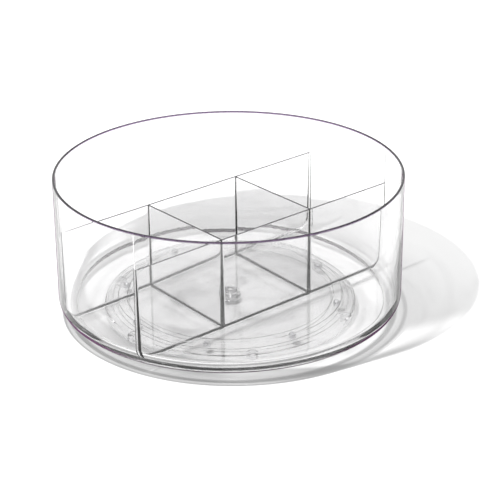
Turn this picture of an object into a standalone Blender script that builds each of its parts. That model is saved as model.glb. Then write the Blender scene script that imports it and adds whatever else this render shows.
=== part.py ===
"""Lazy susan turntable: a clear divided bin that turns on steel balls above a clear base disc.

Metres, +Z up. The origin is on the spin axis, at the level of the surface that the pads stand on.
The two long dividers run along X. Run with: blender --background --python part.py
"""

from math import cos, pi, radians, sin

import bmesh
import bpy

MM = 0.001

# Bin: overall sizes
RIM_RADIUS = 146.0 * MM  # outside of the wall at the rim
BIN_HEIGHT = 116.7 * MM  # from the lower edge of the skirt to the rim
FLOOR_THICKNESS = 2.8 * MM
SKIRT_DEPTH = 3.7 * MM  # how far the skirt reaches below the floor's underside
SKIRT_WIDTH = 13.5 * MM  # from the outside of the wall in to the skirt's inner edge

# Bin: wall section
WALL_AT_RIM = 2.2 * MM
WALL_AT_FLOOR = 4.0 * MM
OUTER_DRAFT = 0.6 * MM  # how much smaller the outside is at the bottom than at the rim
CORNER_RADIUS = 12.0 * MM  # outside bottom corner
FLOOR_FILLET = 8.5 * MM  # inside, where wall meets floor
RIM_ROUND = 0.8 * MM

# Dividers, moulded with the bin
DIVIDER_OFFSET_LONG = 48.2 * MM  # middle of each long divider from the X axis
DIVIDER_OFFSET_CROSS = 47.8 * MM  # middle of each cross divider from the Y axis
DIVIDER_DROP = 32.2 * MM  # divider tops below the rim
DIVIDER_TOP = 1.3 * MM  # thickness at the top
DIVIDER_BASE = 4.0 * MM  # thickness at the floor

# Ball bearing
BALL_COUNT = 8
BALL_RADIUS = 3.175 * MM
BALL_INSET = 15.6 * MM  # ball centres inside the edge of the base disc
BALL_PHASE = radians(-6.8)  # first ball, measured from +X
RACE_CLEARANCE = 0.5 * MM  # of the groove at each side of the balls
RACE_DEPTH = 0.8 * MM  # of the groove under the floor that runs on the balls
SEAT_DEPTH = 1.55 * MM  # of each ball's round seat in the base disc

# Base disc
BASE_INSET = 23.9 * MM  # edge of the disc inside the bin's skirt
BASE_HEIGHT = 6.0 * MM  # underside of the disc above the table
BASE_THICKNESS = 2.4 * MM
BASE_RIM_WIDTH = 2.4 * MM
BASE_EDGE_ROUND = 1.9 * MM

# Centre pivot
BOSS_RADIUS = 5.5 * MM  # the bin's own shaft
BOSS_OVERHANG = 0.3 * MM  # boss end below the base's underside
HUB_WALL = 2.4 * MM
HUB_GAP = 0.8 * MM  # hub top below the bin's floor
SCREW_RADIUS = 1.6 * MM
SCREW_LENGTH = 8.0 * MM
SCREW_HEAD_RADIUS = 3.6 * MM
SCREW_HEAD_HEIGHT = 1.3 * MM
SCREW_HEAD_ROUND = 0.8 * MM
SLOT_LENGTH, SLOT_WIDTH, SLOT_DEPTH = 4.0 * MM, 0.9 * MM, 0.8 * MM  # of the cross in the head
THREAD_DEPTH = 0.3 * MM
THREAD_PITCH = 1.1 * MM
THREAD_RIDGES = 5
WASHER_LAP = 2.7 * MM  # how far the washer reaches past the hub's hole
WASHER_THICKNESS = 0.7 * MM

# Pads
PAD_COUNT = 6
PAD_RADIUS = 4.0 * MM
PAD_THICKNESS = 1.9 * MM
PAD_INSET = 6.0 * MM  # pad centres inside the edge of the base disc
PAD_BOSS_WALL = 0.8 * MM
PAD_ROUND = 0.5 * MM

GAP = 0.3 * MM  # between pieces that touch

# Levels, from the table up
BASE_TOP_Z = BASE_HEIGHT + BASE_THICKNESS
BASE_RIM_Z = PAD_THICKNESS + GAP
SEAT_RADIUS = BALL_RADIUS + GAP
BALL_Z = BASE_TOP_Z - SEAT_DEPTH + SEAT_RADIUS
FLOOR_UNDER_Z = BALL_Z + BALL_RADIUS + GAP - RACE_DEPTH
FLOOR_TOP_Z = FLOOR_UNDER_Z + FLOOR_THICKNESS
BIN_BOTTOM_Z = FLOOR_UNDER_Z - SKIRT_DEPTH
RIM_Z = BIN_BOTTOM_Z + BIN_HEIGHT
DIVIDER_TOP_Z = RIM_Z - DIVIDER_DROP

# Levels of the pivot, from the base disc down, and the screw's tip
BOSS_END_Z = BASE_HEIGHT - BOSS_OVERHANG
WASHER_TOP_Z = BOSS_END_Z - GAP
WASHER_LOW_Z = WASHER_TOP_Z - WASHER_THICKNESS
HEAD_TOP_Z = WASHER_LOW_Z - GAP
HEAD_LOW_Z = HEAD_TOP_Z - SCREW_HEAD_HEIGHT
SCREW_END_Z = HEAD_TOP_Z + SCREW_LENGTH

# Radii that follow from others
FOOT_RADIUS = RIM_RADIUS - OUTER_DRAFT  # outside of the bin at its foot
SKIRT_RADIUS = FOOT_RADIUS - SKIRT_WIDTH
BASE_RADIUS = SKIRT_RADIUS - BASE_INSET
BALL_CIRCLE = BASE_RADIUS - BALL_INSET
PAD_CIRCLE = BASE_RADIUS - PAD_INSET
BORE_RADIUS = SCREW_RADIUS + GAP
HUB_BORE = BOSS_RADIUS + GAP
WASHER_RADIUS = HUB_BORE + WASHER_LAP

SEGMENTS = 72  # around the large turned pieces
SMALL_SEGMENTS = 24
SPHERE_SEGMENTS, SPHERE_RINGS = 14, 8
CORNER_STEPS = 6  # around the bin's lower corner
ARC_STEPS = 4  # around any other rounded edge
SMALL_ARC_STEPS = 2
SHARP_ANGLE = radians(35)  # between faces that are shaded apart

MATERIALS = {
    "clear_plastic": {"color": (0.95, 0.95, 0.97), "roughness": 0.05, "transmission": 1.0},
    "base_plastic": {"color": (0.93, 0.93, 0.94), "roughness": 0.08, "transmission": 1.0},
    "bearing_steel": {"color": (0.62, 0.62, 0.64), "roughness": 0.15, "metallic": 1.0},
    "pad_silicone": {"color": (0.85, 0.85, 0.85), "roughness": 0.45, "alpha": 0.6},
}


def clear_scene():
    for obj in list(bpy.data.objects):
        bpy.data.objects.remove(obj, do_unlink=True)


def new_collection(name):
    collection = bpy.data.collections.new(name)
    bpy.context.scene.collection.children.link(collection)
    return collection


def material(name, color, roughness, metallic=0.0, transmission=0.0, alpha=1.0):
    mat = bpy.data.materials.new(name)
    mat.use_nodes = True
    shader = mat.node_tree.nodes["Principled BSDF"]
    shader.inputs["Base Color"].default_value = (*color, 1.0)
    shader.inputs["Roughness"].default_value = roughness
    shader.inputs["Metallic"].default_value = metallic
    shader.inputs["Transmission Weight"].default_value = transmission
    shader.inputs["Alpha"].default_value = alpha
    return mat


def add_object(name, mesh, collection, mat=None):
    obj = bpy.data.objects.new(name, mesh)
    collection.objects.link(obj)
    if mat:
        mesh.materials.append(mat)
    return obj


def helper(obj):
    """Marks a cutter or a shape that is joined into another."""
    obj.hide_render = True
    obj.display_type = "WIRE"
    return obj


def smooth(mesh):
    mesh.shade_smooth()
    mesh.set_sharp_from_angle(angle=SHARP_ANGLE)


def arc(x, z, radius, start, end, steps=ARC_STEPS):
    """Points (x, z) of an arc about (x, z), from start to end in degrees."""
    angles = [radians(start + (end - start) * i / steps) for i in range(steps + 1)]
    return [(x + radius * cos(a), z + radius * sin(a)) for a in angles]


def turned(name, profile, collection, mat=None, segments=SEGMENTS, closed=False):
    """A solid of revolution about Z. The profile runs down its outer side, top to bottom."""
    mesh = bpy.data.meshes.new(name)
    edges = [(i, i + 1) for i in range(len(profile) - 1)]
    if closed:
        edges.append((len(profile) - 1, 0))
    mesh.from_pydata([(x, 0.0, z) for x, z in profile], edges, [])
    obj = add_object(name, mesh, collection, mat)
    screw = obj.modifiers.new("Turn", "SCREW")
    screw.steps = screw.render_steps = segments
    screw.use_merge_vertices = True
    screw.merge_threshold = 0.00001
    screw.use_smooth_shade = True
    return obj


def boolean(obj, other, operation):
    modifier = obj.modifiers.new(f"{operation.title()} {other.name}", "BOOLEAN")
    modifier.operation = operation
    modifier.solver = "EXACT"
    modifier.object = other


def helper_at(name, spots, z, collection, add_shape):
    """One helper object with a copy of a shape, centred at height z, at each of the (x, y) spots."""
    bm = bmesh.new()
    for x, y in spots:
        made = add_shape(bm)
        bmesh.ops.translate(bm, verts=made["verts"], vec=(x, y, z))
    mesh = bpy.data.meshes.new(name)
    bm.to_mesh(mesh)
    bm.free()
    return helper(add_object(name, mesh, collection))


def add_cylinder(bm, radius, height):
    return bmesh.ops.create_cone(
        bm, cap_ends=True, segments=SMALL_SEGMENTS, radius1=radius, radius2=radius, depth=height
    )


def add_sphere(bm, radius):
    return bmesh.ops.create_uvsphere(bm, u_segments=SPHERE_SEGMENTS, v_segments=SPHERE_RINGS, radius=radius)


def around(count, radius, phase=0.0):
    angles = [phase + 2 * pi * i / count for i in range(count)]
    return [(radius * cos(a), radius * sin(a)) for a in angles]


def drafted_wall(name, length, along_x, offset, collection):
    """An upright wall, thinner at its top, from the middle of the floor to the divider height."""
    bottom, top = FLOOR_TOP_Z - FLOOR_THICKNESS / 2, DIVIDER_TOP_Z
    slope = (DIVIDER_BASE - DIVIDER_TOP) / (DIVIDER_TOP_Z - FLOOR_TOP_Z)
    bm = bmesh.new()
    bmesh.ops.create_cube(bm, size=1.0)
    for vert in bm.verts:
        z = top if vert.co.z > 0 else bottom
        thickness = DIVIDER_TOP + slope * (top - z)
        run, across = vert.co.x * length, vert.co.y * thickness + offset
        vert.co = (run, across, z) if along_x else (across, -run, z)
    mesh = bpy.data.meshes.new(name)
    bm.to_mesh(mesh)
    bm.free()
    return helper(add_object(name, mesh, collection))


def tub_profile():
    """Section of the tub from the middle of its floor, over the rim, down and under to the axis."""
    inner_top, inner_floor = RIM_RADIUS - WALL_AT_RIM, FOOT_RADIUS - WALL_AT_FLOOR
    race_half = BALL_RADIUS + RACE_CLEARANCE
    race_in, race_out = BALL_CIRCLE - race_half, BALL_CIRCLE + race_half
    race_z = FLOOR_UNDER_Z + RACE_DEPTH
    bore_end = SCREW_END_Z + GAP
    inside = [(0.0, FLOOR_TOP_Z)]
    fillet = (inner_floor - FLOOR_FILLET, FLOOR_TOP_Z + FLOOR_FILLET)
    inside += arc(*fillet, FLOOR_FILLET, -90, 0, CORNER_STEPS)
    rim = arc(inner_top + RIM_ROUND, RIM_Z - RIM_ROUND, RIM_ROUND, 180, 90)
    rim += arc(RIM_RADIUS - RIM_ROUND, RIM_Z - RIM_ROUND, RIM_ROUND, 90, 0)
    corner = (FOOT_RADIUS - CORNER_RADIUS, BIN_BOTTOM_Z + CORNER_RADIUS)
    outside = arc(*corner, CORNER_RADIUS, 0, -90, CORNER_STEPS)
    under = [(SKIRT_RADIUS, BIN_BOTTOM_Z), (SKIRT_RADIUS, FLOOR_UNDER_Z)]
    under += [(race_out, FLOOR_UNDER_Z), (race_out, race_z), (race_in, race_z), (race_in, FLOOR_UNDER_Z)]
    boss = [(BOSS_RADIUS, FLOOR_UNDER_Z), (BOSS_RADIUS, BOSS_END_Z), (BORE_RADIUS, BOSS_END_Z)]
    boss += [(BORE_RADIUS, bore_end), (0.0, bore_end)]
    return inside + rim + outside + under + boss


def divider_limit_profile():
    """The space that the dividers may fill: out to the middle of the tub's wall."""
    top_radius = RIM_RADIUS - WALL_AT_RIM / 2
    low_radius = FOOT_RADIUS - WALL_AT_FLOOR / 2
    corner = (FOOT_RADIUS - CORNER_RADIUS, BIN_BOTTOM_Z + CORNER_RADIUS)
    reach = low_radius - corner[0]
    limit = [(0.0, RIM_Z), (top_radius, RIM_Z)] + arc(*corner, reach, 0, -90, CORNER_STEPS)
    return limit + [(0.0, corner[1] - reach)]


def make_bin(parts, cutters, clear):
    tub = turned("bin", tub_profile(), parts, clear)
    limit = helper(turned("divider_limit", divider_limit_profile(), cutters))
    run, inner_run = 2 * RIM_RADIUS, 2 * DIVIDER_OFFSET_LONG
    for side in (-1, 1):
        offset = side * DIVIDER_OFFSET_LONG
        along = drafted_wall(f"long_divider_{side}", run, True, offset, cutters)
        boolean(along, limit, "INTERSECT")
        boolean(tub, along, "UNION")
    for side in (-1, 1):
        offset = side * DIVIDER_OFFSET_CROSS
        cross = drafted_wall(f"cross_divider_{side}", inner_run, False, offset, cutters)
        boolean(tub, cross, "UNION")
    return tub


def base_profile():
    """Closed section of the base disc, its downward rim and the hub around the bin's boss."""
    hub_outer, hub_top = HUB_BORE + HUB_WALL, FLOOR_UNDER_Z - HUB_GAP
    rim_inside = BASE_RADIUS - BASE_RIM_WIDTH
    edge = (BASE_RADIUS - BASE_EDGE_ROUND, BASE_TOP_Z - BASE_EDGE_ROUND)
    profile = [(HUB_BORE, hub_top), (hub_outer, hub_top), (hub_outer, BASE_TOP_Z)]
    profile += arc(*edge, BASE_EDGE_ROUND, 90, 0)
    profile += [(BASE_RADIUS, BASE_RIM_Z), (rim_inside, BASE_RIM_Z)]
    profile += [(rim_inside, BASE_HEIGHT), (HUB_BORE, BASE_HEIGHT)]
    return profile


def make_base(parts, cutters, clear):
    base = turned("base_plate", base_profile(), parts, clear, closed=True)
    boss_top = BASE_HEIGHT + BASE_THICKNESS / 2
    boss_height, boss_radius = boss_top - BASE_RIM_Z, PAD_RADIUS + PAD_BOSS_WALL
    bosses = helper_at(
        "pad_bosses", around(PAD_COUNT, PAD_CIRCLE), boss_top - boss_height / 2, cutters,
        lambda bm: add_cylinder(bm, boss_radius, boss_height),
    )
    seats = helper_at(
        "ball_seats", around(BALL_COUNT, BALL_CIRCLE, BALL_PHASE), BALL_Z, cutters,
        lambda bm: add_sphere(bm, SEAT_RADIUS),
    )
    boolean(base, bosses, "UNION")
    boolean(base, seats, "DIFFERENCE")
    return base


def make_balls(parts, steel):
    bm = bmesh.new()
    add_sphere(bm, BALL_RADIUS)
    mesh = bpy.data.meshes.new("bearing_ball")
    bm.to_mesh(mesh)
    bm.free()
    mesh.materials.append(steel)
    smooth(mesh)
    for i, (x, y) in enumerate(around(BALL_COUNT, BALL_CIRCLE, BALL_PHASE), start=1):
        ball = bpy.data.objects.new(f"bearing_ball_{i}", mesh)
        parts.objects.link(ball)
        ball.location = (x, y, BALL_Z)


def make_pads(parts, rubber):
    profile = [(0.0, PAD_THICKNESS), (PAD_RADIUS, PAD_THICKNESS)]
    profile += arc(PAD_RADIUS - PAD_ROUND, PAD_ROUND, PAD_ROUND, 0, -90, SMALL_ARC_STEPS)
    profile.append((0.0, 0.0))
    for i, (x, y) in enumerate(around(PAD_COUNT, PAD_CIRCLE), start=1):
        pad = turned(f"foot_pad_{i}", profile, parts, rubber, segments=SMALL_SEGMENTS)
        pad.location = (x, y, 0.0)


def screw_profile():
    """Section of the screw, tip up: shank with thread ridges, then a pan head below."""
    root, tip_z = SCREW_RADIUS - THREAD_DEPTH, SCREW_END_Z - SCREW_RADIUS
    profile = [(0.0, SCREW_END_Z), (root, tip_z)]
    for i in range(THREAD_RIDGES):
        z = tip_z - i * THREAD_PITCH
        profile += [(SCREW_RADIUS, z - THREAD_PITCH / 3), (root, z - 2 * THREAD_PITCH / 3)]
    profile += [(root, HEAD_TOP_Z), (SCREW_HEAD_RADIUS, HEAD_TOP_Z)]
    shoulder = (SCREW_HEAD_RADIUS - SCREW_HEAD_ROUND, HEAD_LOW_Z + SCREW_HEAD_ROUND)
    return profile + arc(*shoulder, SCREW_HEAD_ROUND, 0, -90) + [(0.0, HEAD_LOW_Z)]


def slot_cutter(name, width_x, width_y, cutters):
    """A block half in the screw's head, which cuts one arm of its cross slot."""
    bm = bmesh.new()
    bmesh.ops.create_cube(bm, size=1.0)
    bmesh.ops.scale(bm, verts=bm.verts, vec=(width_x, width_y, 2 * SLOT_DEPTH))
    bmesh.ops.translate(bm, verts=bm.verts, vec=(0.0, 0.0, HEAD_LOW_Z))
    mesh = bpy.data.meshes.new(name)
    bm.to_mesh(mesh)
    bm.free()
    return helper(add_object(name, mesh, cutters))


def make_pivot(parts, cutters, steel):
    screw = turned("pivot_screw", screw_profile(), parts, steel, segments=SMALL_SEGMENTS)
    boolean(screw, slot_cutter("slot_x", SLOT_LENGTH, SLOT_WIDTH, cutters), "DIFFERENCE")
    boolean(screw, slot_cutter("slot_y", SLOT_WIDTH, SLOT_LENGTH, cutters), "DIFFERENCE")
    ring = [(BORE_RADIUS, WASHER_TOP_Z), (WASHER_RADIUS, WASHER_TOP_Z)]
    ring += [(WASHER_RADIUS, WASHER_LOW_Z), (BORE_RADIUS, WASHER_LOW_Z)]
    turned("pivot_washer", ring, parts, steel, segments=SMALL_SEGMENTS, closed=True)


def main():
    clear_scene()
    parts = new_collection("lazy_susan_turntable")
    cutters = new_collection("cutters")
    mats = {name: material(name, **values) for name, values in MATERIALS.items()}
    make_bin(parts, cutters, mats["clear_plastic"])
    make_base(parts, cutters, mats["base_plastic"])
    make_balls(parts, mats["bearing_steel"])
    make_pivot(parts, cutters, mats["bearing_steel"])
    make_pads(parts, mats["pad_silicone"])


main()
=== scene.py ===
"""Lazy susan turntable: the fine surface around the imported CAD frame, in metres, +Z up.

The clear pieces are closed solids with real wall thickness, so that refraction draws their edges.
"""

from math import cos, pi, radians, sin, sqrt

import bmesh
import bpy
from mathutils import Matrix, Vector


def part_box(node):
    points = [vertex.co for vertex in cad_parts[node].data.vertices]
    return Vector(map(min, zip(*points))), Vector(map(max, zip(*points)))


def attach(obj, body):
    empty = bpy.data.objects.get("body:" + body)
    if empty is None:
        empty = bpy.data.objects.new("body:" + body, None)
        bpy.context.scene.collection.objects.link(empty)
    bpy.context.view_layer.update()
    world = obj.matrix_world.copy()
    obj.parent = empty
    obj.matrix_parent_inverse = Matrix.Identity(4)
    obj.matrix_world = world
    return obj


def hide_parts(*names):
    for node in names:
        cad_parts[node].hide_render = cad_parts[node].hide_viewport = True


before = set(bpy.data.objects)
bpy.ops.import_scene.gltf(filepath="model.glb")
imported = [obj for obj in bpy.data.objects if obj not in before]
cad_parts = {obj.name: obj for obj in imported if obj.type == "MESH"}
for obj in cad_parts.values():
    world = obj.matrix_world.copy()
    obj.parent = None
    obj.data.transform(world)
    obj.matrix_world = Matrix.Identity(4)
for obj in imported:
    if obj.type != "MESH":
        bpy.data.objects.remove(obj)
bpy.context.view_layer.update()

MM = 0.001
bin_low, bin_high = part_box("bin")
base_low, base_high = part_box("base_plate")
BALLS = [f"bearing_ball_{i}" for i in range(1, 9)]
PADS = [f"foot_pad_{i}" for i in range(1, 7)]

# Tub, as in the CAD: the box gives the overall sizes
RIM_RADIUS, RIM_Z = bin_high.x, bin_high.z
WALL_AT_RIM, WALL_AT_FLOOR = 2.2 * MM, 4.0 * MM
FOOT_RADIUS = RIM_RADIUS - 0.6 * MM
CORNER_RADIUS, FLOOR_FILLET, RIM_ROUND = 12.0 * MM, 8.5 * MM, 0.8 * MM
FLOOR_THICKNESS = 2.8 * MM
SKIRT_WIDTH, SKIRT_DEPTH = 13.5 * MM, 3.7 * MM
SKIRT_RADIUS = FOOT_RADIUS - SKIRT_WIDTH
BALL_RADIUS, BALL_GAP = 3.175 * MM, 0.3 * MM


def middle(node):
    low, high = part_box(node)
    return (low + high) / 2


BALL_Z = middle(BALLS[0]).z
BALL_CIRCLE = (middle(BALLS[0]).xy - middle(BALLS[4]).xy).length / 2
RACE_HALF, RACE_DEPTH, RACE_SLOPE = BALL_RADIUS + 0.5 * MM, 0.8 * MM, 0.3 * MM
FLOOR_UNDER_Z = BALL_Z + BALL_RADIUS + BALL_GAP - RACE_DEPTH
FLOOR_TOP_Z = FLOOR_UNDER_Z + FLOOR_THICKNESS
BIN_BOTTOM_Z = FLOOR_UNDER_Z - SKIRT_DEPTH
CORNER_X, CORNER_Z = FOOT_RADIUS - CORNER_RADIUS, BIN_BOTTOM_Z + CORNER_RADIUS  # its centre
BOSS_RADIUS, BOSS_END_Z, BOSS_FILLET = 5.5 * MM, bin_low.z, 0.5 * MM
BOSS_BORE, BORE_DEPTH = 1.9 * MM, 7.0 * MM
EASE = 0.25 * MM  # on plain edges

# Dividers
LONG_OFFSET, CROSS_OFFSET = 48.2 * MM, 47.8 * MM
DIVIDER_TOP_Z = RIM_Z - 32.2 * MM
DIVIDER_HALF_TOP, DIVIDER_HALF_BASE = 0.65 * MM, 2.0 * MM
JOINT_FILLET, FOOT_FILLET, EDGE_ROUND = 1.1 * MM, 1.6 * MM, 0.3 * MM
WITNESS_WIDTH, WITNESS_DEPTH = 1.3 * MM, 0.07 * MM

# Base disc
BASE_RADIUS, BASE_RIM_Z = base_high.x, base_low.z
SEAT_DEPTH, BASE_THICKNESS = 1.55 * MM, 2.4 * MM
BASE_TOP_Z = BALL_Z - BALL_RADIUS - BALL_GAP + SEAT_DEPTH
BASE_UNDER_Z = BASE_TOP_Z - BASE_THICKNESS
BASE_EDGE_ROUND, RIM_WIDTH, RIM_EASE, INNER_FILLET = 1.9 * MM, 2.4 * MM, 0.5 * MM, 0.8 * MM
HUB_BORE, HUB_WALL, HUB_GAP = BOSS_RADIUS + 0.3 * MM, 2.4 * MM, 0.8 * MM
RING_RADII = (BALL_CIRCLE - 5.5 * MM, BALL_CIRCLE + 4.6 * MM, BASE_RADIUS - 6.5 * MM)
# Each point is a distance across and a distance down
RING_SECTION = ((-0.6 * MM, 0.0), (-0.35 * MM, 0.25 * MM), (0.35 * MM, 0.25 * MM), (0.6 * MM, 0.0))

# Pivot and pads
SCREW_RADIUS, THREAD_DEPTH, THREAD_PITCH = 1.6 * MM, 0.3 * MM, 1.1 * MM
THREAD_STEPS, SCREW_SEGMENTS = 90, 48
HEAD_RADIUS, HEAD_HEIGHT = 3.6 * MM, 1.3 * MM
SLOT_HALF_LENGTH, SLOT_HALF_WIDTH = HEAD_RADIUS * 0.55, HEAD_RADIUS * 0.13
SLOT_DEPTH, SLOT_TAPER = 0.8 * MM, 0.6
WASHER_EASE = 0.15 * MM
PAD_RADIUS, PAD_WALL, PAD_EASE = 4.0 * MM, 0.8 * MM, 0.6 * MM

SEGMENTS = 240


def new_object(name, data):
    obj = bpy.data.objects.new(name, data)
    bpy.context.scene.collection.objects.link(obj)
    return obj


def object_from(name, bm):
    """A new object with the built mesh, which is then freed."""
    mesh = bpy.data.meshes.new(name)
    bm.to_mesh(mesh)
    bm.free()
    return new_object(name, mesh)


def applied(obj):
    """The same object with its modifiers applied."""
    graph = bpy.context.evaluated_depsgraph_get()
    mesh = bpy.data.meshes.new_from_object(obj.evaluated_get(graph))
    obj.modifiers.clear()
    obj.data = mesh
    return obj


def arc(x, z, radius, start, end, steps=6):
    """Points (x, z) on an arc about a centre, from one angle in degrees to another."""
    angles = [radians(start + (end - start) * i / steps) for i in range(steps + 1)]
    return [(x + radius * cos(a), z + radius * sin(a)) for a in angles]


def turned(name, profile, segments=SEGMENTS, closed=False):
    """A solid of revolution about Z. The profile runs down its outer side, top to bottom."""
    mesh = bpy.data.meshes.new(name)
    edges = [(i, i + 1) for i in range(len(profile) - 1)]
    if closed:
        edges.append((len(profile) - 1, 0))
    mesh.from_pydata([(x, 0.0, z) for x, z in profile], edges, [])
    obj = new_object(name, mesh)
    screw = obj.modifiers.new("Turn", "SCREW")
    screw.steps = screw.render_steps = segments
    screw.use_merge_vertices = True
    screw.merge_threshold = 0.000001
    return applied(obj)


def boolean(obj, other, operation):
    """Applies the Boolean and removes the other object."""
    modifier = obj.modifiers.new(operation, "BOOLEAN")
    modifier.operation = operation
    modifier.solver = "EXACT"
    modifier.object = other
    applied(obj)
    bpy.data.objects.remove(other, do_unlink=True)


def finish_surface(obj):
    """Smooth shading that keeps flat faces flat beside a fillet."""
    obj.data.shade_smooth()
    obj.data.set_sharp_from_angle(angle=radians(30))
    weighted = obj.modifiers.new("Weighted normals", "WEIGHTED_NORMAL")
    weighted.keep_sharp = True
    weighted.weight = 90


def dress(obj, body, cad_node):
    """The piece rides on a body and stands for its CAD node, which it hides."""
    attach(obj, body)
    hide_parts(cad_node)


# ---------------------------------------------------------------- tub and dividers


def inner_radius(z):
    """Inside of the tub at a height: its wall, or its floor fillet."""
    rise = max(z - FLOOR_TOP_Z, 0.0)
    low, high = FOOT_RADIUS - WALL_AT_FLOOR, RIM_RADIUS - WALL_AT_RIM
    share = min(rise / (RIM_Z - FLOOR_TOP_Z), 1.0)
    return low + (high - low) * share - flare(rise, FLOOR_FILLET)


def middle_radius(z):
    """Middle of the tub's wall at a height, which a divider's end reaches."""
    reach = FOOT_RADIUS - WALL_AT_FLOOR / 2 - CORNER_X
    if z < CORNER_Z:
        return CORNER_X + sqrt(reach**2 - (CORNER_Z - z) ** 2)
    top = RIM_RADIUS - WALL_AT_RIM / 2
    return CORNER_X + reach + (top - CORNER_X - reach) * (z - CORNER_Z) / (RIM_Z - CORNER_Z)


def tub_profile():
    """Section of the tub, from the middle of its floor over the rim to the bore in its boss."""
    inner_top, inner_floor = RIM_RADIUS - WALL_AT_RIM, FOOT_RADIUS - WALL_AT_FLOOR
    race_in, race_out, race_z = BALL_CIRCLE - RACE_HALF, BALL_CIRCLE + RACE_HALF, FLOOR_UNDER_Z + RACE_DEPTH
    above_fillet, below_rim = FLOOR_TOP_Z + 1.3 * FLOOR_FILLET, RIM_Z - 2.5 * RIM_ROUND
    inside = [(0.0, FLOOR_TOP_Z), (20 * MM, FLOOR_TOP_Z), (inner_floor - 1.3 * FLOOR_FILLET, FLOOR_TOP_Z)]
    inside += arc(inner_floor - FLOOR_FILLET, FLOOR_TOP_Z + FLOOR_FILLET, FLOOR_FILLET, -90, 0, 16)
    inside += [(inner_radius(above_fillet), above_fillet), (inner_top, below_rim)]
    rim = arc(inner_top + RIM_ROUND, RIM_Z - RIM_ROUND, RIM_ROUND, 180, 90)
    rim += arc(RIM_RADIUS - RIM_ROUND, RIM_Z - RIM_ROUND, RIM_ROUND, 90, 0)
    outside = [(RIM_RADIUS, below_rim), (FOOT_RADIUS, BIN_BOTTOM_Z + 1.3 * CORNER_RADIUS)]
    outside += arc(CORNER_X, CORNER_Z, CORNER_RADIUS, 0, -90, 20)
    under = arc(SKIRT_RADIUS + EASE, BIN_BOTTOM_Z + EASE, EASE, -90, -180, 4)
    under += arc(SKIRT_RADIUS - EASE, FLOOR_UNDER_Z - EASE, EASE, 0, 90, 4)
    under += [(race_out + RACE_SLOPE, FLOOR_UNDER_Z)]
    under += arc(race_out - EASE, race_z - EASE, EASE, 0, 90, 4)
    under += arc(race_in + EASE, race_z - EASE, EASE, 90, 180, 4)
    under += [(race_in - RACE_SLOPE, FLOOR_UNDER_Z)]
    boss = arc(BOSS_RADIUS + BOSS_FILLET, FLOOR_UNDER_Z - BOSS_FILLET, BOSS_FILLET, 90, 180, 4)
    boss += arc(BOSS_RADIUS - EASE, BOSS_END_Z + EASE, EASE, 0, -90, 4)
    bore_end = BOSS_END_Z + BORE_DEPTH
    boss += [(BOSS_BORE, BOSS_END_Z), (BOSS_BORE, bore_end), (0.0, bore_end)]
    return inside + rim + outside + under + boss


def flare(distance, radius):
    """How far a fillet of that radius stands out, at a distance from the face that it runs into."""
    distance = max(distance, 0.0)
    return radius - sqrt(radius**2 - (radius - distance) ** 2) if distance < radius else 0.0


def divider_half(z):
    """Half of a divider's thickness at a height, with its draft, foot fillet and rounded top edge."""
    share = (DIVIDER_TOP_Z - z) / (DIVIDER_TOP_Z - FLOOR_TOP_Z)
    half = DIVIDER_HALF_TOP + (DIVIDER_HALF_BASE - DIVIDER_HALF_TOP) * min(share, 1.0)
    return half + flare(z - FLOOR_TOP_Z, FOOT_FILLET) - flare(DIVIDER_TOP_Z - z, EDGE_ROUND)


def heights():
    """Levels of a divider's rows, closer together at its foot fillet and its top edge."""
    foot = [FLOOR_TOP_Z + FOOT_FILLET * share for share in (0, 0.05, 0.14, 0.28, 0.45, 0.7, 1, 1.6)]
    body = [FLOOR_TOP_Z + (DIVIDER_TOP_Z - FLOOR_TOP_Z) * share for share in (0.1, 0.3, 0.55, 0.8, 0.97)]
    top = [DIVIDER_TOP_Z - EDGE_ROUND * share for share in (1.6, 1, 0.6, 0.3, 0.1, 0)]
    return [FLOOR_TOP_Z - FLOOR_THICKNESS / 2] + foot + body + top


def divider(name, end_of, gap_to_end, place):
    """A wall whose sides are two sheets, each a height field over its length and height.

    end_of(z) is half its length, gap_to_end(s, z) the distance from the face that it runs into,
    and place(s, across, z) turns its own coordinates into a point.
    """
    shares = (0, 0.12, 0.3, 0.5, 0.75, 1.05, 1.5)
    levels = heights()
    bm = bmesh.new()
    sheets = []
    for side in (-1, 1):
        rows = []
        for z in levels:
            end, face = end_of(z), end_of(z) - gap_to_end(end_of(z), z)
            run = [end] + [face - JOINT_FILLET * share for share in shares] + [face * 0.85, face * 0.4]
            run = [-s for s in run] + [0.0] + run[::-1]
            row = []
            for s in run:
                across = divider_half(z) + flare(face - abs(s), JOINT_FILLET)
                row.append(bm.verts.new(place(s, side * across, z)))
            rows.append(row)
        sheets.append(rows)
    for rows, turn in zip(sheets, (False, True)):
        for low, high in zip(rows, rows[1:]):
            for i in range(len(low) - 1):
                corners = (low[i], low[i + 1], high[i + 1], high[i])
                bm.faces.new(corners[::-1] if turn else corners)
    left, right = sheets
    for row in (0, -1):
        edge, other = left[row], right[row]
        for i in range(len(edge) - 1):
            bm.faces.new((edge[i], edge[i + 1], other[i + 1], other[i]))
    for column in (0, -1):
        edge, other = [row[column] for row in left], [row[column] for row in right]
        for i in range(len(edge) - 1):
            bm.faces.new((edge[i], edge[i + 1], other[i + 1], other[i]))
    bmesh.ops.recalc_face_normals(bm, faces=bm.faces)
    return object_from(name, bm)


def long_divider(side):
    """One of the two walls that run right across the tub."""
    offset = side * LONG_OFFSET

    def end_of(z):
        return sqrt(middle_radius(z) ** 2 - LONG_OFFSET**2)

    def gap_to_end(s, z):
        return s - sqrt(inner_radius(z) ** 2 - LONG_OFFSET**2)

    def place(s, across, z):
        return s, offset + across, z

    return divider("long", end_of, gap_to_end, place)


def cross_divider(side):
    """One of the two short walls between the long ones."""
    offset = side * CROSS_OFFSET

    def gap_to_end(s, z):
        return s - (LONG_OFFSET - divider_half(z))

    def place(s, across, z):
        return offset + across, s, z

    return divider("cross", lambda z: LONG_OFFSET, gap_to_end, place)


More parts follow.
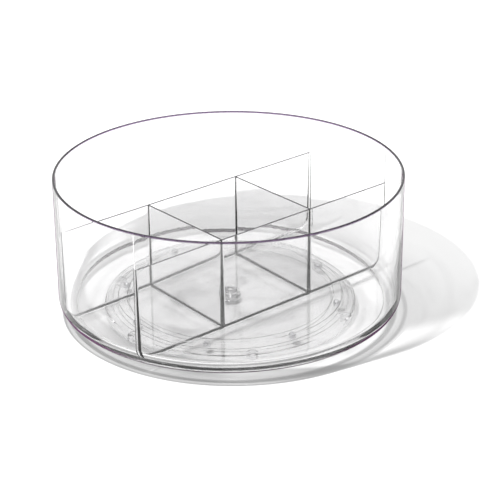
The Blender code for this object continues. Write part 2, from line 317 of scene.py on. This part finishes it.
def witness_line(x_side, y_side):
    """A low flat ridge up the inside of the wall, above a long divider's end."""
    bm = bmesh.new()
    bmesh.ops.create_cube(bm, size=1.0)
    for vert in bm.verts:
        z = DIVIDER_TOP_Z - 1 * MM if vert.co.z < 0 else RIM_Z - 3 * RIM_ROUND
        wall = sqrt(inner_radius(z) ** 2 - LONG_OFFSET**2)
        reach = wall - WITNESS_DEPTH if vert.co.x < 0 else wall + WALL_AT_RIM / 2
        vert.co = (x_side * reach, y_side * (LONG_OFFSET + vert.co.y * WITNESS_WIDTH), z)
    bmesh.ops.recalc_face_normals(bm, faces=bm.faces)
    return object_from("witness_line", bm)


def make_bin():
    tub = turned("clear_bin", tub_profile())
    for x_side, y_side in ((-1, -1), (-1, 1), (1, -1), (1, 1)):
        boolean(tub, witness_line(x_side, y_side), "UNION")
    for side in (-1, 1):
        boolean(tub, long_divider(side), "UNION")
    for side in (-1, 1):
        boolean(tub, cross_divider(side), "UNION")
    finish_surface(tub)
    dress(tub, "bin", "bin")
    return tub


# ---------------------------------------------------------------- base disc


def scattered(name, spots, z, add_shape):
    """One object with a copy of a shape, centred at height z, at each of the (x, y) spots."""
    bm = bmesh.new()
    for x, y in spots:
        made = add_shape(bm)
        bmesh.ops.translate(bm, verts=made["verts"], vec=(x, y, z))
    return object_from(name, bm)


def base_profile():
    """Closed section of the disc, its downward rim, two shallow rings on its top, and its hub."""
    hub_outer, hub_top, rim_inner = HUB_BORE + HUB_WALL, FLOOR_UNDER_Z - HUB_GAP, BASE_RADIUS - RIM_WIDTH
    profile = [(HUB_BORE, hub_top - EASE), (HUB_BORE + EASE, hub_top)]
    profile += arc(hub_outer - EASE, hub_top - EASE, EASE, 90, 0, 4)
    profile += arc(hub_outer + INNER_FILLET, BASE_TOP_Z + INNER_FILLET, INNER_FILLET, 180, 270, 5)
    for radius in RING_RADII:
        profile += [(radius + across, BASE_TOP_Z - down) for across, down in RING_SECTION]
    profile += arc(BASE_RADIUS - BASE_EDGE_ROUND, BASE_TOP_Z - BASE_EDGE_ROUND, BASE_EDGE_ROUND, 90, 0, 10)
    profile += arc(BASE_RADIUS - RIM_EASE, BASE_RIM_Z + RIM_EASE, RIM_EASE, 0, -90, 4)
    profile += arc(rim_inner + RIM_EASE, BASE_RIM_Z + RIM_EASE, RIM_EASE, -90, -180, 4)
    profile += arc(rim_inner - INNER_FILLET, BASE_UNDER_Z - INNER_FILLET, INNER_FILLET, 0, 90, 5)
    profile += [(HUB_BORE + EASE, BASE_UNDER_Z), (HUB_BORE, BASE_UNDER_Z + EASE)]
    return profile


def make_base():
    base = turned("base_disc", base_profile(), closed=True)
    boss_top = (BASE_TOP_Z + BASE_UNDER_Z) / 2
    boss_height, boss_radius = boss_top - BASE_RIM_Z, PAD_RADIUS + PAD_WALL

    def pad_boss(bm):
        return bmesh.ops.create_cone(
            bm, cap_ends=True, segments=48, radius1=boss_radius, radius2=boss_radius, depth=boss_height
        )

    def ball_seat(bm):
        return bmesh.ops.create_uvsphere(bm, u_segments=48, v_segments=24, radius=BALL_RADIUS + BALL_GAP)

    pad_spots, ball_spots = [middle(name).xy for name in PADS], [middle(name).xy for name in BALLS]
    boolean(base, scattered("pad_bosses", pad_spots, boss_top - boss_height / 2, pad_boss), "UNION")
    boolean(base, scattered("ball_seats", ball_spots, BALL_Z, ball_seat), "DIFFERENCE")
    finish_surface(base)
    dress(base, "base", "base_plate")
    return base


# ---------------------------------------------------------------- balls, pivot and pads


def ball_of(node_name):
    """A polished ball, from a subdivided cube pushed out to the sphere, so that its faces are even."""
    bm = bmesh.new()
    bmesh.ops.create_cube(bm, size=1.0)
    bmesh.ops.subdivide_edges(bm, edges=bm.edges, cuts=15, use_grid_fill=True)
    centre = middle(node_name)
    for vert in bm.verts:
        vert.co = centre + vert.co.normalized() * BALL_RADIUS
    ball = object_from(node_name.replace("bearing", "steel"), bm)
    ball.data.shade_smooth()
    number = node_name.rsplit("_", 1)[1]
    dress(ball, f"ball_{number}", node_name)
    return ball


def thread_radius(z, angle, low, high):
    """Radius of the screw at a height and angle: a helical thread between two levels."""
    turn = ((z - low) / THREAD_PITCH - angle / (2 * pi)) % 1.0
    ridge = max(0.0, 1.0 - abs(turn - 0.5) * 4.0)
    fade = min(1.0, max(0.0, (z - low) / THREAD_PITCH), max(0.0, (high - z) / THREAD_PITCH))
    return SCREW_RADIUS - THREAD_DEPTH + THREAD_DEPTH * ridge * fade


def circle_points(z, radius_at):
    """Points of a ring around the screw, where radius_at(angle) is its radius."""
    angles = [2 * pi * i / SCREW_SEGMENTS for i in range(SCREW_SEGMENTS)]
    return [(radius_at(angle) * cos(angle), radius_at(angle) * sin(angle), z) for angle in angles]


def slot_arm(half_x, half_y, face_z):
    """One arm of the screw's cross slot: a block about the head's face, narrower towards its inner end."""
    bm = bmesh.new()
    bmesh.ops.create_cube(bm, size=1.0)
    for vert in bm.verts:
        x, y, z = vert.co
        taper = 1.0 if z < 0 else SLOT_TAPER
        vert.co = (2 * x * half_x * taper, 2 * y * half_y * taper, face_z + 2 * z * SLOT_DEPTH)
    return object_from("slot", bm)


def make_screw():
    low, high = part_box("pivot_screw")
    head_top, tip = low.z + HEAD_HEIGHT, high.z
    head = [(0.4 * MM, low.z), (HEAD_RADIUS - 0.9 * MM, low.z)]
    head += arc(HEAD_RADIUS - 0.7 * MM, low.z + 0.75 * MM, 0.7 * MM, -80, 0, 8)
    head += [(HEAD_RADIUS, head_top - 0.1 * MM), (HEAD_RADIUS - 0.1 * MM, head_top)]
    head += [(SCREW_RADIUS, head_top), (SCREW_RADIUS - THREAD_DEPTH, head_top + 0.3 * MM)]
    rings = [circle_points(z, lambda angle, radius=radius: radius) for radius, z in head]
    start, end = head_top + 0.4 * MM, tip - 1.5 * MM
    for step in range(THREAD_STEPS + 1):
        z = start + (end - start) * step / THREAD_STEPS
        rings.append(circle_points(z, lambda angle, z=z: thread_radius(z, angle, start, end)))
    rings.append(circle_points(tip, lambda angle: 0.35 * MM))
    bm = bmesh.new()
    made = [[bm.verts.new(point) for point in ring] for ring in rings]
    for below, above in zip(made, made[1:]):
        for i in range(SCREW_SEGMENTS):
            j = (i + 1) % SCREW_SEGMENTS
            bm.faces.new((below[i], below[j], above[j], above[i]))
    bm.faces.new(made[0][::-1])
    bm.faces.new(made[-1])
    screw = object_from("cross_head_screw", bm)
    for half_x, half_y in ((SLOT_HALF_LENGTH, SLOT_HALF_WIDTH), (SLOT_HALF_WIDTH, SLOT_HALF_LENGTH)):
        boolean(screw, slot_arm(half_x, half_y, low.z), "DIFFERENCE")
    finish_surface(screw)
    dress(screw, "bin", "pivot_screw")
    return screw


def make_washer():
    low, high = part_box("pivot_washer")
    ease = WASHER_EASE
    inner, outer, under, over = BOSS_BORE + ease, high.x - ease, low.z + ease, high.z - ease
    profile = arc(inner, over, ease, 180, 90, 3) + arc(outer, over, ease, 90, 0, 3)
    profile += arc(outer, under, ease, 0, -90, 3) + arc(inner, under, ease, -90, -180, 3)
    washer = turned("round_washer", profile, segments=96, closed=True)
    finish_surface(washer)
    dress(washer, "bin", "pivot_washer")
    return washer


def make_pad(node_name):
    """A soft disc with a rounded foot and a shallow hollow in its underside."""
    low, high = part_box(node_name)
    centre, radius = middle(node_name), PAD_RADIUS
    profile = [(0.0, high.z), (radius - 0.2 * MM, high.z), (radius, high.z - 0.2 * MM)]
    profile += arc(radius - PAD_EASE, low.z + PAD_EASE, PAD_EASE, 0, -90, 6)
    profile += [(radius * 0.62, low.z), (radius * 0.5, low.z + 0.25 * MM), (0.0, low.z + 0.3 * MM)]
    pad = turned(node_name.replace("foot", "soft"), profile, segments=48)
    pad.data.transform(Matrix.Translation((centre.x, centre.y, 0)))
    finish_surface(pad)
    dress(pad, "base", node_name)
    return pad


# ---------------------------------------------------------------- materials

CLEAR, WALL_TINT, FLOOR_TINT = (1.0, 1.0, 1.0), (0.976, 0.975, 0.977), (0.938, 0.936, 0.936)
# Painted shade: a dark violet for the rim, a dark purple gloss for the outer skin's edges, and a dark grey
# line along the dividers' top edges
RIM_SHADE_VIOLET, EDGE_SHADE_PURPLE, DIVIDER_EDGE_SHADE = (0.09, 0.04, 0.12), (0.16, 0.08, 0.15), (0.3, 0.28, 0.32)
BASE_UNDER_TINT, PAD_UNDER_TINT, PAD_TOP_TINT = (0.93, 0.93, 0.94), (0.9, 0.9, 0.9), (0.97, 0.97, 0.97)
PLASTIC_IOR, SILICONE_IOR = 1.5, 1.3
MOST_HAZE, PURPLE_ROUGHNESS = 0.06, 0.3
FLOOR_SWELL = 0.03 * MM

# What a lamp's ray keeps at a surface. Each stop is a radius and a share
TUB_RINGS = (
    (0.0, 1.0), (132.5 * MM, 1.0), (134 * MM, 0.3), (137.2 * MM, 0.3), (138.6 * MM, 1.0),
    (141.4 * MM, 1.0), (142.4 * MM, 0.35), (143.6 * MM, 0.35), (144.4 * MM, 1.0),
)
TUB_CLARITY = (
    (0.0, 0.98), (108 * MM, 0.98), (111 * MM, 0.9), (114 * MM, 0.98), (119 * MM, 1.0),
    (122 * MM, 0.92), (127 * MM, 0.98), (134 * MM, 0.96), (140 * MM, 0.58), (RIM_RADIUS, 0.58),
)
BASE_RINGS = (
    (0.0, 1.0), (80 * MM, 1.0), (86 * MM, 0.94), (88 * MM, 1.0), (96 * MM, 0.95),
    (98 * MM, 1.0), (103 * MM, 0.9), (108 * MM, 0.85),
)
BASE_CLARITY = ((0.0, 0.98), (RIM_RADIUS, 0.98))
TUB_STREAK, BASE_STREAK, PAD_STREAK = 0.22, 0.3, 0.1
# At a slant a wall gives back a share of its loss, until close to grazing. Each stop is a facing and a share
SLANT_LIFT = ((0.0, 0.0), (0.68, 0.0), (0.75, 1.0), (0.84, 1.0), (0.91, 0.0))
GRAZING_POWER = 6.0
FULL_SLANT_Z = 80 * MM


def shader_tree(name):
    mat = bpy.data.materials.new(name)
    mat.use_nodes = True
    tree = mat.node_tree
    tree.nodes.clear()
    return mat, tree


def node(tree, kind, **values):
    made = tree.nodes.new(kind)
    for key, value in values.items():
        setattr(made, key, value)
    return made


def feed(tree, slot, value):
    """Links a socket to an input, or sets the input to a number or a colour."""
    if isinstance(value, bpy.types.NodeSocket):
        tree.links.new(value, slot)
    else:
        slot.default_value = (*value, 1) if isinstance(value, tuple) else value


def value_ramp(tree, source, low, high, stops):
    """A colour ramp over a value's range from low to high; each stop is a value and a grey or a colour."""
    spread = node(tree, "ShaderNodeMapRange")
    spread.inputs["From Min"].default_value, spread.inputs["From Max"].default_value = low, high
    tree.links.new(source, spread.inputs["Value"])
    ramp = node(tree, "ShaderNodeValToRGB")
    while len(ramp.color_ramp.elements) < len(stops):
        ramp.color_ramp.elements.new(0.5)
    for element, (place, level) in zip(ramp.color_ramp.elements, stops):
        element.position = (place - low) / (high - low)
        element.color = (*level, 1) if isinstance(level, tuple) else (level, level, level, 1)
    tree.links.new(spread.outputs[0], ramp.inputs[0])
    return ramp.outputs["Color"]


def calc(tree, operation, *values):
    """A Math node on sockets or numbers."""
    made = node(tree, "ShaderNodeMath", operation=operation)
    for slot, value in zip(made.inputs, values):
        feed(tree, slot, value)
    return made.outputs[0]


def length_of(tree, first, second):
    """The length of a vector with these two parts."""
    squares = calc(tree, "MULTIPLY", first, first), calc(tree, "MULTIPLY", second, second)
    return calc(tree, "SQRT", calc(tree, "ADD", *squares))


def mix(tree, share, first, second, blend="MIX"):
    """A mix of two colours: the first where the share is 0, the second where it is 1."""
    made = node(tree, "ShaderNodeMix", data_type="RGBA", blend_type=blend)
    feed(tree, made.inputs["Factor"], share)
    feed(tree, made.inputs["A"], first)
    feed(tree, made.inputs["B"], second)
    return made.outputs["Result"]


def multiply(tree, first, second):
    """The product of two colours."""
    return mix(tree, 1.0, first, second, "MULTIPLY")


def mix_shader(tree, share, first, second):
    made = node(tree, "ShaderNodeMixShader")
    for slot, value in zip(made.inputs, (share, first, second)):
        tree.links.new(value, slot)
    return made.outputs[0]


def parts_of(tree, vector):
    """The x, y and z of a vector."""
    split = node(tree, "ShaderNodeSeparateXYZ")
    tree.links.new(vector, split.inputs[0])
    return split.outputs


def facing_away(tree):
    """0 where a surface faces the ray, 1 where it is edge on."""
    weight = node(tree, "ShaderNodeLayerWeight")
    weight.inputs["Blend"].default_value = 0.5
    return weight.outputs["Facing"]


def place_on(tree):
    """The piece's own coordinates, the radius from its axis, and the height."""
    where = node(tree, "ShaderNodeTexCoord").outputs["Object"]
    x, y, z = parts_of(tree, where)
    return where, length_of(tree, x, y), z


def noise(tree, where, scale, detail=2.0, distortion=0.0):
    made = node(tree, "ShaderNodeTexNoise")
    made.inputs["Scale"].default_value = scale
    made.inputs["Detail"].default_value = detail
    made.inputs["Distortion"].default_value = distortion
    tree.links.new(where, made.inputs["Vector"])
    return made.outputs["Fac"]


def around_axis(tree, where, radius, z, stretch):
    """Coordinates in which a pattern is drawn out around the axis: arc, radius and height."""
    x, y, _ = parts_of(tree, where)
    angle = calc(tree, "ARCTAN2", y, x)
    along = node(tree, "ShaderNodeCombineXYZ")
    for slot, value in zip(along.inputs, (calc(tree, "MULTIPLY", angle, stretch), radius, z)):
        tree.links.new(value, slot)
    return along.outputs[0]


def bumped(tree, height, distance):
    """The normal of a surface that a height pattern raises by up to a distance."""
    bump = node(tree, "ShaderNodeBump")
    bump.inputs["Strength"].default_value = 1.0
    bump.inputs["Distance"].default_value = distance
    tree.links.new(height, bump.inputs["Height"])
    return bump.outputs["Normal"]


def moulded_bump(tree, where, radius, z, height):
    """The slow swell that moulding leaves, and fine rings around the gate in the middle of the floor."""
    swell = noise(tree, where, 38.0, 1.0)
    rings = noise(tree, around_axis(tree, where, radius, z, 0.008), 420.0, 2.0, 0.3)
    fading = ((0.0, 0.35), (40 * MM, 0.3), (110 * MM, 0.12), (RIM_RADIUS, 0.0))
    share = value_ramp(tree, radius, 0.0, RIM_RADIUS, fading)
    return bumped(tree, calc(tree, "ADD", swell, calc(tree, "MULTIPLY", rings, share)), height)


def lamp_light(tree, where, radius, z, clarity, rings, zone, streak):
    """What a lamp's straight ray keeps at each surface, where real light would bend into caustics.

    It loses some at each surface by radius, more when it grazes one high up, and some in soft moulding
    streaks. At a slant, what a wall throws back lands beside what it lets through, so less goes missing.
    rings darken it further, on the surfaces where zone is 1, because the section bends it aside there.
    """
    facing = facing_away(tree)
    above = value_ramp(tree, z, CORNER_Z, FULL_SLANT_Z, ((CORNER_Z, 0.0), (FULL_SLANT_Z, 1.0)))
    slant = calc(tree, "MULTIPLY", calc(tree, "POWER", facing, GRAZING_POWER), above)
    clearness = value_ramp(tree, radius, 0.0, RIM_RADIUS, clarity)
    lift = value_ramp(tree, facing, 0.0, 1.0, SLANT_LIFT)
    lifted = calc(tree, "MULTIPLY", calc(tree, "SUBTRACT", 1.0, clearness), lift)
    kept = calc(tree, "MULTIPLY", calc(tree, "ADD", clearness, lifted), calc(tree, "SUBTRACT", 1.0, slant))
    by_ring = mix(tree, zone, CLEAR, value_ramp(tree, radius, rings[0][0], rings[-1][0], rings))
    return multiply(tree, multiply(tree, kept, by_ring), moulding_streaks(tree, where, radius, z, streak))


def moulding_streaks(tree, where, radius, z, depth):
    """Flowing bands around the axis, with thin bright veins, as uneven thickness draws them in light."""
    along = around_axis(tree, where, radius, z, 0.03)
    broad = noise(tree, along, 42.0, 2.0, 1.2)
    veins = calc(tree, "ABSOLUTE", calc(tree, "SUBTRACT", noise(tree, along, 75.0, 1.0, 2.0), 0.5))
    band_stops = ((0.3, 1.0 - depth), (0.44, 1.0 - 0.25 * depth), (0.7, 1.0))
    vein_stops = ((0.0, 1.0), (0.02, 1.0 - 0.15 * depth), (0.12, 1.0 - 0.2 * depth))
    return multiply(
        tree, value_ramp(tree, broad, 0.3, 0.7, band_stops), value_ramp(tree, veins, 0.0, 0.12, vein_stops)
    )


def clear_plastic(name, tint, rings, zone_of, clarity, streak, ior=PLASTIC_IOR, swell=0.0, edge=None):
    """Clear moulded plastic. tint(tree, radius, z) colours it by place.

    Rays from lamps, and rays that a matt surface sends out, go straight through. edge(tree, radius, z),
    if given, is the share of a dark purple gloss that paints shade on the edges.
    """
    mat, tree = shader_tree(name)
    link = tree.links.new
    where, radius, z = place_on(tree)
    glass = node(tree, "ShaderNodeBsdfPrincipled")
    link(tint(tree, radius, z), glass.inputs["Base Color"])
    glass.inputs["Transmission Weight"].default_value = 1.0
    glass.inputs["IOR"].default_value = ior
    specks = noise(tree, where, 900.0, 4.0, 2.0)
    haze = value_ramp(tree, specks, 0.0, 1.0, ((0.0, 0.0), (0.68, 0.0), (1.0, MOST_HAZE)))
    link(haze, glass.inputs["Roughness"])
    if swell:
        link(moulded_bump(tree, where, radius, z, swell), glass.inputs["Normal"])
    through = node(tree, "ShaderNodeBsdfTransparent")
    zone = zone_of(tree, radius, z)
    link(lamp_light(tree, where, radius, z, clarity, rings, zone, streak), through.inputs["Color"])
    shown = glass.outputs[0]
    if edge:
        # painted shade: a dark purple gloss where the skin turns away
        gloss = node(tree, "ShaderNodeBsdfGlossy")
        gloss.inputs["Color"].default_value = (*EDGE_SHADE_PURPLE, 1)
        gloss.inputs["Roughness"].default_value = PURPLE_ROUGHNESS
        shown = mix_shader(tree, edge(tree, radius, z), shown, gloss.outputs[0])
    path = node(tree, "ShaderNodeLightPath")
    for kind in ("Is Shadow Ray", "Is Diffuse Ray"):
        shown = mix_shader(tree, path.outputs[kind], shown, through.outputs[0])
    link(shown, node(tree, "ShaderNodeOutputMaterial").inputs["Surface"])
    return mat


def tub_tint(tree, radius, z):
    """Water clear walls, a little greyer floor, a dark violet rim that is painted shade for the rim's dark
    edge, and a dark grey line of painted shade along the dividers' top edges.
    """
    by_height = (
        (BIN_BOTTOM_Z, FLOOR_TINT), (FLOOR_TOP_Z + 0.5 * MM, FLOOR_TINT), (FLOOR_TOP_Z + 6 * MM, WALL_TINT),
        # painted shade: the rim turns dark violet, standing in for the dark edge that the rim shows
        (RIM_Z - 1.7 * MM, WALL_TINT), (RIM_Z - 1.2 * MM, RIM_SHADE_VIOLET),
    )
    # painted shade: a dark grey line along the dividers' top edges, where the clear walls show a dark edge
    low, high = DIVIDER_TOP_Z - 2 * MM, DIVIDER_TOP_Z + 1 * MM
    line = ((low, 0.0), (DIVIDER_TOP_Z - 0.7 * MM, 0.0), (DIVIDER_TOP_Z - 0.4 * MM, 1.0), (high, 1.0))
    at_top = calc(tree, "MULTIPLY", value_ramp(tree, z, low, high, line), calc(tree, "LESS_THAN", z, high))
    at_top = calc(tree, "MULTIPLY", at_top, calc(tree, "LESS_THAN", radius, FOOT_RADIUS - WALL_AT_FLOOR))
    return mix(tree, at_top, value_ramp(tree, z, BIN_BOTTOM_Z, RIM_Z, by_height), DIVIDER_EDGE_SHADE)


def painted_edge_shade(tree, radius, z):
    """Share of a dark violet gloss, painted shade, on the outer skin where it turns away, wider on the tight
    lower corner.
    """
    low = CORNER_Z - 3 * MM
    starts = value_ramp(tree, z, low, CORNER_Z, ((low, 0.58), (CORNER_Z, 0.88)))
    edge = node(tree, "ShaderNodeMapRange")
    tree.links.new(facing_away(tree), edge.inputs["Value"])
    tree.links.new(starts, edge.inputs["From Min"])
    tree.links.new(calc(tree, "ADD", starts, 0.09), edge.inputs["From Max"])
    skin = calc(tree, "GREATER_THAN", radius, FOOT_RADIUS - WALL_AT_RIM)
    beneath = calc(tree, "LESS_THAN", z, BIN_BOTTOM_Z + 3.2 * MM)
    beneath = calc(tree, "MULTIPLY", beneath, calc(tree, "GREATER_THAN", radius, CORNER_X))
    return calc(tree, "MULTIPLY", edge.outputs[0], calc(tree, "MAXIMUM", skin, beneath))


def corner_skin(tree, radius, z):
    """1 on the outside of the tub's lower corner, from the skirt out to where it has turned upright."""
    out, down = calc(tree, "SUBTRACT", radius, CORNER_X), calc(tree, "SUBTRACT", CORNER_Z, z)
    outside = calc(tree, "GREATER_THAN", length_of(tree, out, down), CORNER_RADIUS - 1 * MM)
    past_skirt = calc(tree, "GREATER_THAN", radius, SKIRT_RADIUS)
    low = calc(tree, "MULTIPLY", calc(tree, "GREATER_THAN", down, 0.0), past_skirt)
    return calc(tree, "MULTIPLY", outside, low)


def base_tint(tree, radius, z):
    # clear, a little darker towards its underside
    return value_ramp(tree, z, BASE_RIM_Z, BASE_TOP_Z, ((BASE_RIM_Z, BASE_UNDER_TINT), (BASE_TOP_Z, CLEAR)))


def disc_top(tree, radius, z):
    """1 on the disc's upper side, and around its edge."""
    return calc(tree, "GREATER_THAN", z, BASE_UNDER_Z + 0.5 * MM)


def silicone_tint(tree, radius, z):
    # clear, a little darker towards the foot
    return value_ramp(tree, z, 0.0, BASE_RIM_Z, ((0.0, PAD_UNDER_TINT), (BASE_RIM_Z, PAD_TOP_TINT)))


def metal(name, color, roughness, grain):
    """Steel with faint stains, and a fine scratched grain that breaks up its gloss."""
    mat, tree = shader_tree(name)
    link = tree.links.new
    where, radius, z = place_on(tree)
    scratches = noise(tree, around_axis(tree, where, radius, z, 0.004), 2600.0, 3.0, 0.4)
    stains = noise(tree, where, 320.0, 3.0, 0.8)
    stained = tuple(0.78 * level for level in color)
    shader = node(tree, "ShaderNodeBsdfPrincipled")
    shader.inputs["Metallic"].default_value = 1.0
    stain_stops = ((0.3, stained), (0.55, color), (0.7, color))
    link(value_ramp(tree, stains, 0.3, 0.7, stain_stops), shader.inputs["Base Color"])
    rough = value_ramp(tree, scratches, 0.3, 0.7, ((0.3, roughness), (0.7, 2.2 * roughness)))
    link(rough, shader.inputs["Roughness"])
    link(bumped(tree, scratches, grain), shader.inputs["Normal"])
    link(shader.outputs[0], node(tree, "ShaderNodeOutputMaterial").inputs["Surface"])
    return mat


# ---------------------------------------------------------------- studio

CAMERA_AZIMUTH = radians(-39.8)
CAMERA_ELEVATION = radians(21.844)
CAMERA_DISTANCE = 1.554
CAMERA_PAN, CAMERA_TILT, CAMERA_ROLL = radians(-0.328), radians(-2.116), radians(0.672)
CAMERA_LENS = 140.5

FLOOR_SIZE, FLOOR_DROP, FLOOR_COLOR = 24.0, 0.1 * MM, (0.9, 0.9, 0.9)
KEY_PLACE, KEY_HEIGHT = (-0.195, -0.285), 0.69  # right of and away from the camera
KEY_ENERGY, KEY_SIZE = 39.0, 0.012
LEAST_DOWN = 0.05
SKY_STRENGTH = 0.58
SKY_STOPS = ((0.0, 0.06), (0.35, 0.15), (0.6, 0.45), (0.8, 1.5), (1.0, 2.0))  # height, level
BACKDROP = (1.8, 1.8, 1.8)
BACKDROP_FROM, BACKDROP_TO = 0.1, 0.45  # how far behind the object its edge runs


def make_floor():
    bpy.ops.mesh.primitive_plane_add(size=FLOOR_SIZE, location=(0, 0, -FLOOR_DROP))
    floor = bpy.context.object
    floor.name = "studio_floor"
    mat, tree = shader_tree("floor")
    shader = node(tree, "ShaderNodeBsdfDiffuse")
    shader.inputs["Color"].default_value = (*FLOOR_COLOR, 1)
    tree.links.new(shader.outputs[0], node(tree, "ShaderNodeOutputMaterial").inputs["Surface"])
    floor.data.materials.append(mat)


def view_side(x, y):
    """A direction given to the right of and away from the camera, as x and y in the row frame."""
    a = CAMERA_AZIMUTH
    return x * cos(a) - y * sin(a), x * sin(a) + y * cos(a)


def make_camera():
    a, e = CAMERA_AZIMUTH, CAMERA_ELEVATION
    target = Vector((0, 0, RIM_Z))
    back = Vector((sin(a) * cos(e), -cos(a) * cos(e), sin(e)))
    forward = -back
    right = forward.cross(Vector((0, 0, 1))).normalized()
    up = right.cross(forward)
    pan = Matrix.Rotation(CAMERA_PAN, 3, up)
    forward, right = pan @ forward, pan @ right
    tilt = Matrix.Rotation(CAMERA_TILT, 3, right)
    forward, up = tilt @ forward, tilt @ up
    roll = Matrix.Rotation(CAMERA_ROLL, 3, forward)
    right, up = roll @ right, roll @ up
    data = bpy.data.cameras.new("camera")
    data.lens = CAMERA_LENS
    camera = new_object("camera", data)
    turn = Matrix((right, up, -forward)).transposed().to_4x4()
    camera.matrix_world = Matrix.Translation(target + back * CAMERA_DISTANCE) @ turn
    bpy.context.scene.camera = camera


def make_key():
    """A small lamp near the object, stronger towards the horizon, so that the floor is lit evenly."""
    data = bpy.data.lights.new("key", "POINT")
    data.energy = KEY_ENERGY
    data.shadow_soft_size = KEY_SIZE
    data.use_nodes = True
    tree = data.node_tree
    direction = node(tree, "ShaderNodeTexCoord").outputs["Normal"]
    down = calc(tree, "MAXIMUM", calc(tree, "ABSOLUTE", parts_of(tree, direction)["Z"]), LEAST_DOWN)
    falloff = node(tree, "ShaderNodeLightFalloff")
    falloff.inputs["Strength"].default_value = 1.0
    strength = calc(tree, "DIVIDE", falloff.outputs["Constant"], down)
    tree.links.new(strength, tree.nodes["Emission"].inputs["Strength"])
    new_object("key", data).location = (*view_side(*KEY_PLACE), KEY_HEIGHT)


def make_world():
    """A sky that is brighter higher up, with an even bright backdrop behind the object."""
    world = bpy.data.worlds.new("studio")
    bpy.context.scene.world = world
    world.use_nodes = True
    tree = world.node_tree
    tree.nodes.clear()
    link = tree.links.new
    direction = node(tree, "ShaderNodeTexCoord").outputs["Generated"]
    behind = node(tree, "ShaderNodeVectorMath", operation="DOT_PRODUCT")
    behind.inputs[1].default_value = (*view_side(0.0, 1.0), 0.0)
    link(direction, behind.inputs[0])
    backdrop = node(tree, "ShaderNodeMapRange", interpolation_type="SMOOTHSTEP")
    backdrop.inputs["From Min"].default_value = BACKDROP_FROM
    backdrop.inputs["From Max"].default_value = BACKDROP_TO
    link(behind.outputs["Value"], backdrop.inputs["Value"])
    sky = value_ramp(tree, parts_of(tree, direction)["Z"], 0.0, 1.0, SKY_STOPS)
    around = mix(tree, backdrop.outputs[0], sky, BACKDROP)
    seen = node(tree, "ShaderNodeLightPath").outputs["Is Camera Ray"]
    background = node(tree, "ShaderNodeBackground")
    link(mix(tree, seen, around, BACKDROP), background.inputs["Color"])
    background.inputs["Strength"].default_value = SKY_STRENGTH
    link(background.outputs[0], node(tree, "ShaderNodeOutputWorld").inputs["Surface"])


def paint(obj, mat):
    obj.data.materials.clear()
    obj.data.materials.append(mat)


clear = clear_plastic(
    "clear_plastic", tub_tint, TUB_RINGS, corner_skin, TUB_CLARITY, TUB_STREAK,
    swell=FLOOR_SWELL, edge=painted_edge_shade,
)
disc = clear_plastic("clear_base", base_tint, BASE_RINGS, disc_top, BASE_CLARITY, BASE_STREAK)
silicone = clear_plastic(
    "silicone", silicone_tint, BASE_RINGS, disc_top, BASE_CLARITY, PAD_STREAK, ior=SILICONE_IOR
)
polished = metal("polished_steel", (0.66, 0.66, 0.68), 0.05, 0.0005 * MM)
plated = metal("plated_steel", (0.6, 0.6, 0.61), 0.16, 0.004 * MM)
paint(make_bin(), clear)
paint(make_base(), disc)
for name in BALLS:
    paint(ball_of(name), polished)
paint(make_screw(), plated)
paint(make_washer(), plated)
for name in PADS:
    paint(make_pad(name), silicone)
make_floor()
make_key()
make_world()
make_camera()
scene = bpy.context.scene
scene.view_settings.view_transform = "Standard"
scene.cycles.max_bounces = 24
scene.cycles.glossy_bounces = 5
scene.cycles.transmission_bounces = 24
scene.cycles.transparent_max_bounces = 32
